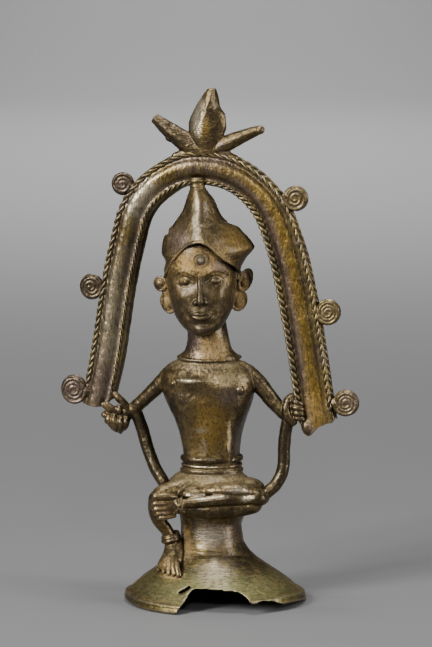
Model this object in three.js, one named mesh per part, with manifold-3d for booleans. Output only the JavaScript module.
// A seated bronze figure that holds the two ends of an arch. It sits on a hollow bell-shaped foot,
// and figure, arch and foot are cast in one piece.
// Millimetres, +Z up. X runs to the viewer's right, and the figure looks towards -Y.
// Everything is drawn around the axis of the bell foot. The group is moved at the end, so that the
// origin lies on the standing plane, under the middle of the whole.
import * as THREE from "three";
import Module from "manifold-3d";
import { mergeVertices } from "three/addons/utils/BufferGeometryUtils.js";

const wasm = await Module();
wasm.setup();

// Driving dimensions
const fromFootAxis = { x: 2.5, y: -1.4 };
const facing = 12; // degrees that the figure and its arch are turned to the viewer's left

const foot = {
  rimRadius: 36,
  rimHeight: 2.6,
  neckRadius: 11.8,
  neckHeight: 30,
  topHeight: 37,
  lean: -1.7, // how far the neck stands to the left of the rim's centre
  wall: 2,
  hollowHeight: 22,
  sides: 30,
};

const arch = {
  centre: { x: -5.6, z: 140.5 },
  depth: 1.5, // behind the foot's axis
  radius: 28.8,
  width: 13, // of its front, between the outer sides of the two cords
  thickness: 5,
  leftSplay: 11, // degrees from the vertical
  rightSplay: 12.1,
  leftEnd: 71,
  rightEnd: 62,
};

const stayRadius = 2.5;

const scroll = { radius: 4.6, thickness: 3.2, sides: 12 };

const head = {
  chin: { x: -4.4, y: -0.5, z: 105.6 },
  tilt: -2.6, // degrees, leaning to the viewer's left
  turn: -10, // degrees, facing to the viewer's left
  halfWidth: 13.6,
  halfDepth: 13.2,
};

const colour = { bronze: 0x6b5a3c };

// Shape helpers

const vec = (x, y, z) => new THREE.Vector3(x, y, z);
const rad = THREE.MathUtils.degToRad;
const signedPower = (value, power) => Math.sign(value) * Math.abs(value) ** power;

// A closed solid from any geometry, turned the right way out.
function solid(geometry) {
  const plain = new THREE.BufferGeometry();
  plain.setAttribute("position", geometry.getAttribute("position"));
  plain.setIndex(geometry.getIndex());
  const merged = mergeVertices(plain, 1e-4);
  const build = (triVerts) =>
    new wasm.Manifold(
      new wasm.Mesh({ numProp: 3, vertProperties: merged.getAttribute("position").array, triVerts }),
    );
  const faces = new Uint32Array(merged.getIndex().array);
  const made = build(faces);
  return made.volume() > 0 ? made : build(faces.reverse());
}

// Rings of equal length are skinned one after another and closed by a point at each end.
function skin(rings, firstTip, lastTip) {
  const count = rings[0].length;
  const points = [firstTip, ...rings.flat(), lastTip];
  const at = (ring, i) => 1 + ring * count + (i % count);
  const faces = [];
  for (let i = 0; i < count; i++) {
    faces.push(0, at(0, i + 1), at(0, i));
    for (let k = 0; k + 1 < rings.length; k++) {
      faces.push(at(k, i), at(k, i + 1), at(k + 1, i + 1));
      faces.push(at(k, i), at(k + 1, i + 1), at(k + 1, i));
    }
    faces.push(points.length - 1, at(rings.length - 1, i), at(rings.length - 1, i + 1));
  }
  return new THREE.BufferGeometry().setFromPoints(points).setIndex(faces);
}

// Level rings, one above another. A level is [height, x, y, half width, half depth, power]:
// power 2 is an ellipse, less is nearer a diamond and more is nearer a box. The rings may be turned.
function stack(levels, sides, turn = 0) {
  const rings = levels.map(([z, x, y, halfWidth, halfDepth, power = 2]) =>
    Array.from({ length: sides }, (_, i) => {
      const angle = (2 * Math.PI * i) / sides;
      const along = halfWidth * signedPower(Math.cos(angle), 2 / power);
      const across = halfDepth * signedPower(Math.sin(angle), 2 / power);
      return vec(along, across, 0).applyAxisAngle(vec(0, 0, 1), rad(turn)).add(vec(x, y, z));
    }),
  );
  const [low, high] = [levels[0], levels[levels.length - 1]];
  return skin(rings, vec(low[1], low[2], low[0]), vec(high[1], high[2], high[0]));
}

// A round limb through [x, y, z, radius] stations, with rounded ends. flat squeezes its section
// along the direction towards, which is also the section's own second axis.
function limb(stations, { sides = 7, steps = 4, flat = 1, towards = vec(0, 1, 0) } = {}) {
  const path = new THREE.CatmullRomCurve3(stations.map(([x, y, z]) => vec(x, y, z)));
  const radii = new THREE.CatmullRomCurve3(stations.map((s) => vec(s[3], 0, 0)));
  const rings = [];
  const ring = (centre, along, radius) => {
    const across = vec(0, 0, 0).crossVectors(along, towards).normalize();
    const up = vec(0, 0, 0).crossVectors(across, along).normalize();
    rings.push(
      Array.from({ length: sides }, (_, i) => {
        const angle = (2 * Math.PI * i) / sides;
        return centre
          .clone()
          .addScaledVector(across, radius * Math.cos(angle))
          .addScaledVector(up, flat * radius * Math.sin(angle));
      }),
    );
  };
  const ends = [0, 1].map((t) => ({
    centre: path.getPoint(t),
    along: path.getTangent(t),
    radius: radii.getPoint(t).x,
    side: t ? 1 : -1,
  }));
  const dome = rad(48); // how far round each end its one ring stands
  const past = ({ centre, along, side }, distance) => centre.clone().addScaledVector(along, side * distance);
  const endRing = (end) =>
    ring(past(end, end.radius * Math.sin(dome)), end.along, end.radius * Math.cos(dome));
  endRing(ends[0]);
  for (let i = 0; i <= steps; i++) {
    const t = i / steps;
    ring(path.getPoint(t), path.getTangent(t), radii.getPoint(t).x);
  }
  endRing(ends[1]);
  return skin(rings, past(ends[0], ends[0].radius), past(ends[1], ends[1].radius));
}

// A row of fingers or toes side by side: a limb along the row that swells at each of them.
function row(from, to, { count, radius, pinch = 0.72, ...shape }) {
  const stations = Array.from({ length: 2 * count - 1 }, (_, k) => {
    const [x, y, z] = from.map((value, axis) => value + ((to[axis] - value) * k) / (2 * count - 2));
    return [x, y, z, radius * (k % 2 ? pinch : 1)];
  });
  return limb(stations, { steps: 2 * count - 2, ...shape });
}

function ball(x, y, z, rx, ry = rx, rz = rx, across = 8, up = 5) {
  return new THREE.SphereGeometry(1, across, up).rotateX(Math.PI / 2).scale(rx, ry, rz).translate(x, y, z);
}

// A ring around an axis, for bangles and coiled ear ornaments.
function hoop(x, y, z, radius, tube, axis = vec(0, 0, 1), around = 9, sides = 5) {
  const turn = new THREE.Quaternion().setFromUnitVectors(vec(0, 0, 1), axis.clone().normalize());
  return new THREE.TorusGeometry(radius, tube, sides, around).applyQuaternion(turn).translate(x, y, z);
}

// A flat outline of [x, z] points, pushed through from one depth to another.
function slab(outline, front, back) {
  const shape = new THREE.Shape(outline.map(([x, z]) => new THREE.Vector2(x, z)));
  return new THREE.ExtrudeGeometry(shape, { depth: back - front, bevelEnabled: false })
    .rotateX(Math.PI / 2)
    .translate(0, back, 0);
}

// The bell foot, hollow underneath and broken out at the front

// The rim isn't level: it stands at the front left, behind on the left and on the right, and lifts
// between those places, most of all at the front right.
function rimLift(angle) {
  const standing = [235, 140, 20];
  const nearest = Math.min(
    ...standing.map((place) => Math.abs(((THREE.MathUtils.radToDeg(angle) - place + 540) % 360) - 180)),
  );
  const reach = angle > rad(270) ? 2.4 : 1;
  return reach * THREE.MathUtils.smoothstep(nearest, 14, 60);
}

function bell() {
  const outside = new THREE.SplineCurve(
    [
      [foot.rimRadius - 0.8, 0],
      [foot.rimRadius, foot.rimHeight / 2],
      [foot.rimRadius - 1.4, foot.rimHeight],
      [27.8, 8.8],
      [18, 15.8],
      [13, 22],
      [foot.neckRadius, foot.neckHeight],
      [13.2, foot.topHeight],
    ].map(([r, z]) => new THREE.Vector2(r, z)),
  ).getPoints(9);
  const inside = new THREE.SplineCurve(
    [
      [0, foot.hollowHeight],
      [6, foot.hollowHeight - 1.5],
      [14, 15],
      [26, 7],
      [foot.rimRadius - foot.wall - 0.8, 0],
    ].map(([r, z]) => new THREE.Vector2(r, z)),
  ).getPoints(4);
  const profile = [...inside, ...outside, new THREE.Vector2(0, foot.topHeight)];
  const turned = new THREE.LatheGeometry(profile, foot.sides).rotateX(Math.PI / 2);
  const places = turned.getAttribute("position");
  for (let i = 0; i < places.count; i++) {
    const [x, y, z] = [places.getX(i), places.getY(i), places.getZ(i)];
    const angle = (Math.atan2(y, x) + 2 * Math.PI) % (2 * Math.PI);
    const low = Math.max(0, 1 - z / foot.hollowHeight) * Math.min(1, Math.hypot(x, y) / foot.rimRadius);
    places.setXYZ(i, x + foot.lean * Math.min(1, z / foot.neckHeight), y, z + rimLift(angle) * low);
  }
  return solid(turned);
}

function breakOut() {
  const outline = [
    [-15.6, -2], [-15.2, 0.6], [-13.4, 3], [-11.4, 5.4], [-9.6, 8], [-7.4, 9], [-3.6, 9.2], [0.2, 8.7],
    [7.8, 8.3], [10.2, 7.5], [12.4, 6], [14.2, 4.1], [15.4, 3.7], [16.6, 4.8], [19, 5], [21.4, 4.4],
    [24, 3.4], [27, 3.2], [28.4, 1.2], [29, -2],
  ];
  const crack = [[-15.4, 7.3], [-12.4, 8.7], [-9.9, 9.9], [-9.6, 9.2], [-11, 7.6], [-13.2, 6.7]];
  return [slab(outline, -45, -10), slab(crack, -45, -10)].map(solid);
}

// The seat: hips, the folded leg across the front and the leg that hangs at the left

function lap() {
  const hips = stack(
    [
      [30, -1.7, 0, 11.6, 11.6],
      [36, -1.7, -0.5, 14.8, 13.4],
      [42, -1.9, -1, 18, 14.4],
      [46.5, -2, -1, 17.2, 13],
      [49.8, -1.8, 0, 14.4, 10.7],
      [52.5, -1.5, 0.5, 12, 9.6],
    ],
    14,
    -facing,
  );
  const foldedThigh = [[4, 0, 45, 6.6], [12, -4, 44.6, 6.2], [18, -7.6, 43.4, 4.8]];
  const foldedShin = [
    [18, -8.6, 42.4, 4.3],
    [10.4, -13.2, 40.6, 4.6],
    [-2, -15.4, 39.4, 4.4],
    [-12.5, -15.6, 39.8, 3.8],
  ];
  const hangingThigh = [[-6, -1, 45, 6.6], [-14, -5, 44.6, 6], [-21, -9, 42.4, 4.8]];
  const hangingShin = [
    [-22, -9.4, 40.6, 4.2],
    [-22.4, -8.6, 36, 3.5],
    [-20.6, -7.2, 31.4, 2.8],
    [-17.6, -5.4, 25.6, 2.9],
  ];
  const bangle = vec(0.5, 0.18, -0.85);
  return [
    hips,
    limb(foldedThigh, { sides: 8 }),
    limb(foldedShin, { sides: 8 }),
    limb(hangingThigh, { sides: 8 }),
    limb(hangingShin, { sides: 8, steps: 5 }),
    hoop(-17.4, -5.4, 25.8, 2.9, 1.2, bangle),
    hoop(-12.8, -15.8, 39.6, 3.6, 0.8, vec(1, 0, 0)),
    ...foldedFoot(),
    ...hangingFoot(),
  ].map(solid);
}

// The folded leg's foot lies on its side on the other knee, with its toes one above another.
function foldedFoot() {
  const instep = [[-13, -15.6, 40.2, 3.8], [-17, -15.4, 41, 4.4], [-19.6, -15, 41.2, 3.8]];
  const toes = { count: 5, radius: 2.9, pinch: 0.8, sides: 6, flat: 0.7 };
  return [limb(instep, { steps: 2, flat: 0.7 }), row([-20.6, -15.6, 36.6], [-20.6, -15.8, 45.2], toes)];
}

// The hanging foot lies down the slope of the bell, with its toes spread.
function hangingFoot() {
  const sole = limb([[-16.8, -5.2, 24.4, 2.9], [-17.3, -7.4, 20, 3], [-18.4, -10.6, 16, 3.4]], {
    sides: 8,
    steps: 3,
    flat: 0.66,
    towards: vec(-0.6, -0.6, 0.5),
  });
  const toes = row([-21.4, -9.6, 14.8], [-15.6, -14, 14.4], {
    count: 5,
    radius: 2.6,
    pinch: 0.8,
    sides: 6,
    flat: 0.7,
    towards: vec(-0.4, -0.5, 0.75),
  });
  return [sole, toes];
}

// Trunk, belt, collar and neck

function trunk() {
  const body = stack(
    [
      [50, -1.6, 0.5, 12, 9.4],
      [51.6, -1.5, 0.5, 13, 10.4],
      [53.2, -1.5, 0.5, 12.1, 9.5],
      [54.7, -1.5, 0.5, 13, 10.3],
      [57.2, -1.5, 0.5, 10.9, 8.7, 2.3],
      [66, -1.6, 0.4, 11.9, 9, 2.4],
      [72, -1.9, 0.2, 14, 10.1, 2.4],
      [79, -2.6, -0.2, 17.2, 11.4, 2.4],
      [86, -2.7, 0, 18.5, 11.3, 2.3],
      [91.4, -2.8, 0.6, 16.8, 9.8, 2.2],
      [94.4, -2.9, 0.6, 13.4, 9, 2],
      [96.4, -3, 0.4, 11.3, 8.8, 2],
      [97.6, -3, 0.4, 9.3, 8, 2],
      [103, -3.6, 0.4, 8.1, 7.6, 2],
      [112, -4.4, 0.6, 7.6, 7.4, 2],
    ],
    16,
    -facing,
  );
  const nipple = (x, y, z) => ball(x, y, z, 1.5, 1.8, 1.5, 6, 4);
  return [body, nipple(-16.4, -7.4, 86), nipple(8.4, -12, 84.4)].map(solid);
}

// Arms out to the arch, and the two round stays that run from the wrists down to the seat

function arms() {
  const left = [[-16, 2.6, 89.4, 4], [-20.4, 3.8, 85.7, 3.2], [-26, 5.4, 79.8, 2.8], [-32.4, 7.8, 73.7, 2.5]];
  const right = [[12, -2, 89.6, 4], [17, -3, 85.2, 3.4], [22, -4.2, 79.2, 3], [26.6, -5.4, 74.4, 2.6]];
  const leftStay = [[-30.8, 8.2, 72.2], [-28.2, 7.4, 64.4], [-25.6, 5.4, 55.6], [-20.6, 1.6, 46.2]];
  const rightStay = [
    [28.6, -5, 72.8],
    [27, -4.6, 65.7],
    [26.6, -4.4, 56.7],
    [25.6, -5, 50.2],
    [19.4, -6.4, 42.6],
  ];
  const stay = (points, steps) => limb(points.map((point) => [...point, stayRadius]), { steps });
  return [
    limb(left, { sides: 8 }),
    limb(right, { sides: 8 }),
    stay(leftStay, 6),
    stay(rightStay, 8),
    ...leftHand(),
    ...rightHand(),
  ].map(solid);
}

// Each hand is a fist around the arch's foot: a palm, and in front of it the row of bent fingers.
const fingers = { count: 4, radius: 3.6, sides: 5, flat: 0.62, pinch: 0.8 };

function leftHand() {
  const thumb = [[-35, 7, 71.8, 1.9], [-37.2, 7.6, 75.8, 1.7], [-40, 8.6, 79.2, 1.6]];
  const forefinger = [[-39.4, 6, 70.8, 1.6], [-43, 6.6, 76, 1.3]];
  return [
    ball(-37.4, 8.6, 69.7, 4.4, 3.6, 4.6, 8, 5),
    row([-41.2, 6.2, 71.4], [-37, 5.6, 66.2], fingers),
    limb(thumb, { sides: 6, steps: 2 }),
    limb(forefinger, { sides: 5, steps: 1 }),
  ];
}

function rightHand() {
  const forefinger = [[30, -7.8, 79.2, 1.5], [34, -7.8, 79.8, 1.3]];
  return [
    ball(29.4, -5.6, 75, 3.6, 3.6, 5.2, 8, 5),
    row([29.2, -8.4, 79.1], [30.2, -8.4, 71.1], fingers),
    limb(forefinger, { sides: 5, steps: 1 }),
  ];
}

// The head, drawn upright on its chin's height and then tilted and turned. The face is a plain
// idealised one, laid out in equal thirds from chin to hairline.

const face = { third: 11.8, eyeHeight: 20.6, eyeApart: 5.5 };

function headFrame(geometry) {
  const turn = new THREE.Euler(0, rad(head.tilt), rad(head.turn), "YXZ");
  return geometry
    .applyQuaternion(new THREE.Quaternion().setFromEuler(turn))
    .translate(head.chin.x, head.chin.y, head.chin.z);
}

function skull() {
  const { halfWidth: w, halfDepth: d } = head;
  return stack(
    [
      [0, 0, -7.4, w * 0.3, d * 0.28],
      [1.6, 0, -5.6, w * 0.46, d * 0.52],
      [5, 0, -3.4, w * 0.7, d * 0.76],
      [10, 0, -1.3, w * 0.88, d * 0.94],
      [16, 0, -0.2, w * 0.98, d],
      [24, 0, 0, w, d],
      [33, 0, 0.3, w * 0.94, d * 0.94],
      [42, 0, 0.4, w * 0.5, d * 0.5],
    ],
    16,
  );
}

function features() {
  const { third, eyeHeight, eyeApart } = face;
  const front = -head.halfDepth;
  const sides = [-1, 1];
  const eyes = sides.map((s) => ball(s * eyeApart, front + 1.6, eyeHeight, 3.3, 2, 1.6, 8, 4));
  const brows = sides.map((s) =>
    limb(
      [
        [s * 1.8, front - 0.1, 2 * third - 0.2, 0.6],
        [s * 5.8, front + 1, 2 * third + 0.7, 0.7],
        [s * 10.2, front + 4.6, 2 * third - 0.8, 0.5],
      ],
      { sides: 4, steps: 3 },
    ),
  );
  const nose = limb(
    [
      [0, front + 0.2, 2 * third - 1.6, 0.9],
      [0, front - 0.8, third + 5, 1.3],
      [0, front - 1.6, third + 1.6, 1.9],
    ],
    { sides: 6, steps: 2 },
  );
  const mouth = third * (2 / 3);
  const lips = [
    ball(0, front + 1.5, mouth + 0.7, 3.4, 1.5, 0.8, 6, 4),
    ball(0, front + 1.7, mouth - 0.8, 2.8, 1.5, 0.9, 6, 4),
  ];
  const chin = ball(0, front + 4.2, 2.6, 3.2, 2.6, 2.4, 7, 4);
  const boss = ball(-1, front + 0.8, 28, 2.7, 1.9, 2.7, 8, 4);
  return [...eyes, ...brows, nose, ...lips, chin, boss];
}

function ears() {
  return [
    ear(-15.8, 19.4, 3.6, -12.6, 10.4, 3.4),
    ear(16.4, 20, 4.6, 14, 11.6, 3.8),
  ].flat();
}

// Two coils hang one below the other on a long lobe.
function ear(upperX, upperZ, upperHeight, lowerX, lowerZ, lowerHeight) {
  const [ringRadius, tube] = [1.75, 1.6];
  const coil = (x, z, halfHeight) =>
    hoop(0, 0, 0, ringRadius, tube, vec(0, 1, 0))
      .scale(1, 1, halfHeight / (ringRadius + tube))
      .translate(x, 1, z);
  const middle = { x: (upperX + lowerX) / 2.12, z: (upperZ + lowerZ) / 2 };
  return [
    coil(upperX, upperZ, upperHeight),
    coil(lowerX, lowerZ, lowerHeight),
    ball(middle.x, 1.2, middle.z, 2.6, 2.2, 6.4, 6, 4),
  ];
}

// The cap rises to a point, is pinched to a ridge down its front and flares into a wing at each side.
// Its front edge is an arched brim over the brow.
function cap() {
  const cone = stack(
    [
      [20, 0.6, 1.2, 13.2, 13.4],
      [26, 1.2, 0.6, 14.6, 14.4, 1.8],
      [31.8, 2.6, 0.2, 17.8, 14.2, 1.5],
      [36, 2.3, 0.2, 16.6, 13, 1.4],
      [39.5, 1.8, 0.2, 13.2, 11.2, 1.4],
      [43.5, 0.7, 0.2, 9.2, 9, 1.45],
      [51, 0.6, 0.2, 5, 5.4, 1.5],
      [55, 0, 0.2, 3, 3.2, 1.7],
      [59, -0.1, 0.2, 2.7, 2.7, 2],
    ],
    16,
  );
  const brim = new THREE.Shape();
  brim.moveTo(-20, 10);
  brim.lineTo(-16, 22);
  brim.quadraticCurveTo(-9, 34, -0.5, 35.4);
  brim.quadraticCurveTo(9, 33.6, 15.6, 22);
  brim.lineTo(20, 10);
  const opening = new THREE.ExtrudeGeometry(brim, { depth: 30, bevelEnabled: false, curveSegments: 4 })
    .rotateX(Math.PI / 2)
    .translate(0, -1.5, 0);
  return solid(headFrame(cone)).subtract(solid(headFrame(opening)));
}

function headParts() {
  return [skull(), ...features(), ...ears()].map((piece) => solid(headFrame(piece))).concat(cap());
}

// The arch: one section swept up the left leg, over the top and down the right leg. It is drawn flat,
// as wide as it looks from the front, and then turned as the figure is.

function archFrame(geometry) {
  const { centre, depth } = arch;
  return geometry
    .translate(-centre.x, -depth, 0)
    .scale(1 / Math.cos(rad(facing)), 1, 1)
    .rotateZ(rad(-facing))
    .translate(centre.x, depth, 0);
}

// Half of the section, from the rib in its middle to the cord along its edge and round to the back,
// as [share of the half width, how proud].
const archHalfSection = [[0.4, 1.05], [0.6, 0.45], [0.8, 1], [0.98, 0.7], [1.16, -0.9]];
const archRib = [0, 1.2];

function archPath() {
  const { centre, radius, leftSplay, rightSplay, leftEnd, rightEnd } = arch;
  const on = (degrees) =>
    vec(centre.x + radius * Math.cos(rad(degrees)), 0, centre.z + radius * Math.sin(rad(degrees)));
  const leg = (from, splay, end) => vec(from.x + (from.z - end) * Math.tan(rad(splay)), 0, end);
  const [first, last] = [180 - leftSplay, rightSplay];
  const leftFoot = leg(on(first), -leftSplay, leftEnd);
  const rightFoot = leg(on(last), rightSplay, rightEnd);
  // t runs from 0 at a foot to 1 where the leg meets the curve. Neither leg is quite straight.
  const leftBow = (t) => 0.6 * Math.sin(2 * Math.PI * t);
  const rightBow = (t) => 2.4 * Math.sin(Math.PI * t ** 1.5);
  const bent = (a, b, t, bow) => a.clone().lerp(b, t).add(vec(bow(t), 0, 0));
  const legSteps = [0, 0.18, 0.36, 0.54, 0.72, 0.88];
  const over = Array.from({ length: 17 }, (_, k) => on(first + ((last - first) * k) / 16));
  return [
    ...legSteps.map((t) => bent(leftFoot, on(first), t, leftBow)),
    ...over,
    ...legSteps.map((t) => bent(rightFoot, on(last), t, rightBow)).reverse(),
  ];
}

function band() {
  const path = archPath();
  const outline = [
    archRib,
    ...archHalfSection,
    ...archHalfSection.map(([share, proud]) => [-share, proud]).reverse(),
  ];
  const rings = path.map((centre, k) => {
    const along = path[Math.min(k + 1, path.length - 1)].clone().sub(path[Math.max(k - 1, 0)]).normalize();
    const outwards = vec(-along.z, 0, along.x);
    const narrow = 1 - 0.3 * THREE.MathUtils.smoothstep(92 - centre.z, 0, 18) * (centre.x < 0 ? 1 : 0);
    return outline.map(([share, proud]) => {
      const inner = share < 0 ? narrow : 1;
      return centre
        .clone()
        .addScaledVector(outwards, (share * inner * arch.width) / 2)
        .add(vec(0, arch.depth - (proud * arch.thickness) / 2, 0));
    });
  });
  const middle = (ring) => ring.reduce((sum, p) => sum.add(p), vec(0, 0, 0)).divideScalar(ring.length);
  return solid(archFrame(skin(rings, middle(rings[0]), middle(rings[rings.length - 1]))));
}

// The left end is worn round, and the right end is broken off with a spur.
function archEnds() {
  const worn = [[-52.8, 77.2], [-51.8, 75.2], [-44, 74.6], [-41.8, 76.4], [-36, 79]];
  const broken = [
    [26, 73.6], [33, 72], [33.6, 69], [35.6, 66.2], [37.4, 67.8], [40.6, 70], [45.4, 71], [46.8, 74.2],
  ];
  const left = [[-36, 60], [-60, 60], [-60, 77], ...worn];
  const right = [...broken, [56, 73], [56, 55], [26, 55]];
  return [left, right].map((outline) => solid(slab(outline, -20, 22)));
}

// Coiled discs along the outside: [x, z, size], with a web that ties each to the arch.
const scrolls = [
  [-35.8, 162.4, 0.94, [-30.6, 160.2]],
  [-48.2, 121.7, 1.04, [-43.6, 120.6]],
  [-55.5, 80.8, 1.12, [-49.8, 80]],
  [31, 158.1, 1.02, [26.6, 156.2]],
  [43.5, 114.4, 1.05, [39.2, 114.2]],
  [50.4, 79.3, 1.1, [46.2, 78.8]],
];

function scrollDiscs() {
  const { radius: r, thickness: t, sides } = scroll;
  const profile = [
    [0, -0.4], [0.9, -0.4], [1, 0.1], [0.84, 0.5], [0.66, 0.22], [0.42, 0.5], [0, 0.5],
  ].map(([out, proud]) => new THREE.Vector2(out * r, proud * t));
  return scrolls.flatMap(([x, z, size, tie]) => {
    const disc = new THREE.LatheGeometry(profile, sides)
      .rotateX(Math.PI)
      .rotateY(Math.PI)
      .scale(size, 1, size)
      .translate(x, arch.depth - 0.4, z);
    const web = [[x, arch.depth, z, 2], [tie[0], arch.depth, tie[1], 2.4]];
    return [disc, limb(web, { sides: 5, steps: 1, flat: 0.5 })].map((piece) => solid(archFrame(piece)));
  });
}

// The bud between two leaves that crowns the arch

function finial() {
  const bud = stack(
    [
      [175.6, -3.8, arch.depth, 5.2, 2.6],
      [179, -3.4, arch.depth, 5.4, 3.8, 1.8],
      [183, -3.2, arch.depth, 6.8, 4.6, 1.6],
      [187.4, -2.9, arch.depth, 7.1, 4.7, 1.5],
      [191.6, -2.5, arch.depth, 5.5, 3.9, 1.5],
      [196, -2.1, arch.depth, 3.2, 2.5, 1.6],
      [200, -1.8, arch.depth, 1.4, 1.3, 2],
    ],
    12,
  );
  const leaf = (stations) => limb(stations, { sides: 7, steps: 4, flat: 0.62 });
  const y = arch.depth;
  return [
    bud,
    leaf([[-5.6, y, 176.6, 3.2], [-12.6, y, 180.6, 3.6], [-18.8, y, 184.6, 2.9], [-24.4, y, 188, 1.2]]),
    leaf([[-1.4, y, 176.6, 3], [5.4, y, 179.2, 3.3], [12.2, y, 182.6, 2.6], [17.6, y, 184.8, 1.5]]),
    slab([[-16.4, 172], [-14.8, 176.4], [6.6, 176.4], [8.6, 171]], y - 1.6, y + 1.6),
  ].map((piece) => solid(archFrame(piece)));
}

// Everything joined into the one casting

function casting() {
  const legs = band();
  const [leftTrim, rightTrim] = archEnds();
  const trimmed = legs.subtract(leftTrim).subtract(rightTrim);
  const [notch, crack] = breakOut();
  const base = bell().subtract(notch).subtract(crack);
  return [...lap(), ...trunk(), ...arms(), ...headParts(), ...scrollDiscs(), ...finial(), trimmed].reduce(
    (whole, piece) => whole.add(piece),
    base,
  );
}

function geometryOf(made) {
  const { vertProperties, triVerts } = made.getMesh();
  return new THREE.BufferGeometry()
    .setAttribute("position", new THREE.BufferAttribute(new Float32Array(vertProperties), 3))
    .setIndex(new THREE.BufferAttribute(new Uint32Array(triVerts), 1));
}

const bronze = new THREE.MeshStandardMaterial({ color: colour.bronze, metalness: 0.8, roughness: 0.45 });
const figure = new THREE.Mesh(geometryOf(casting()), bronze);
figure.name = "figure";
figure.geometry.computeVertexNormals();

const whole = new THREE.Group();
whole.add(figure);
whole.position.set(fromFootAxis.x, fromFootAxis.y, 0);

export default whole;
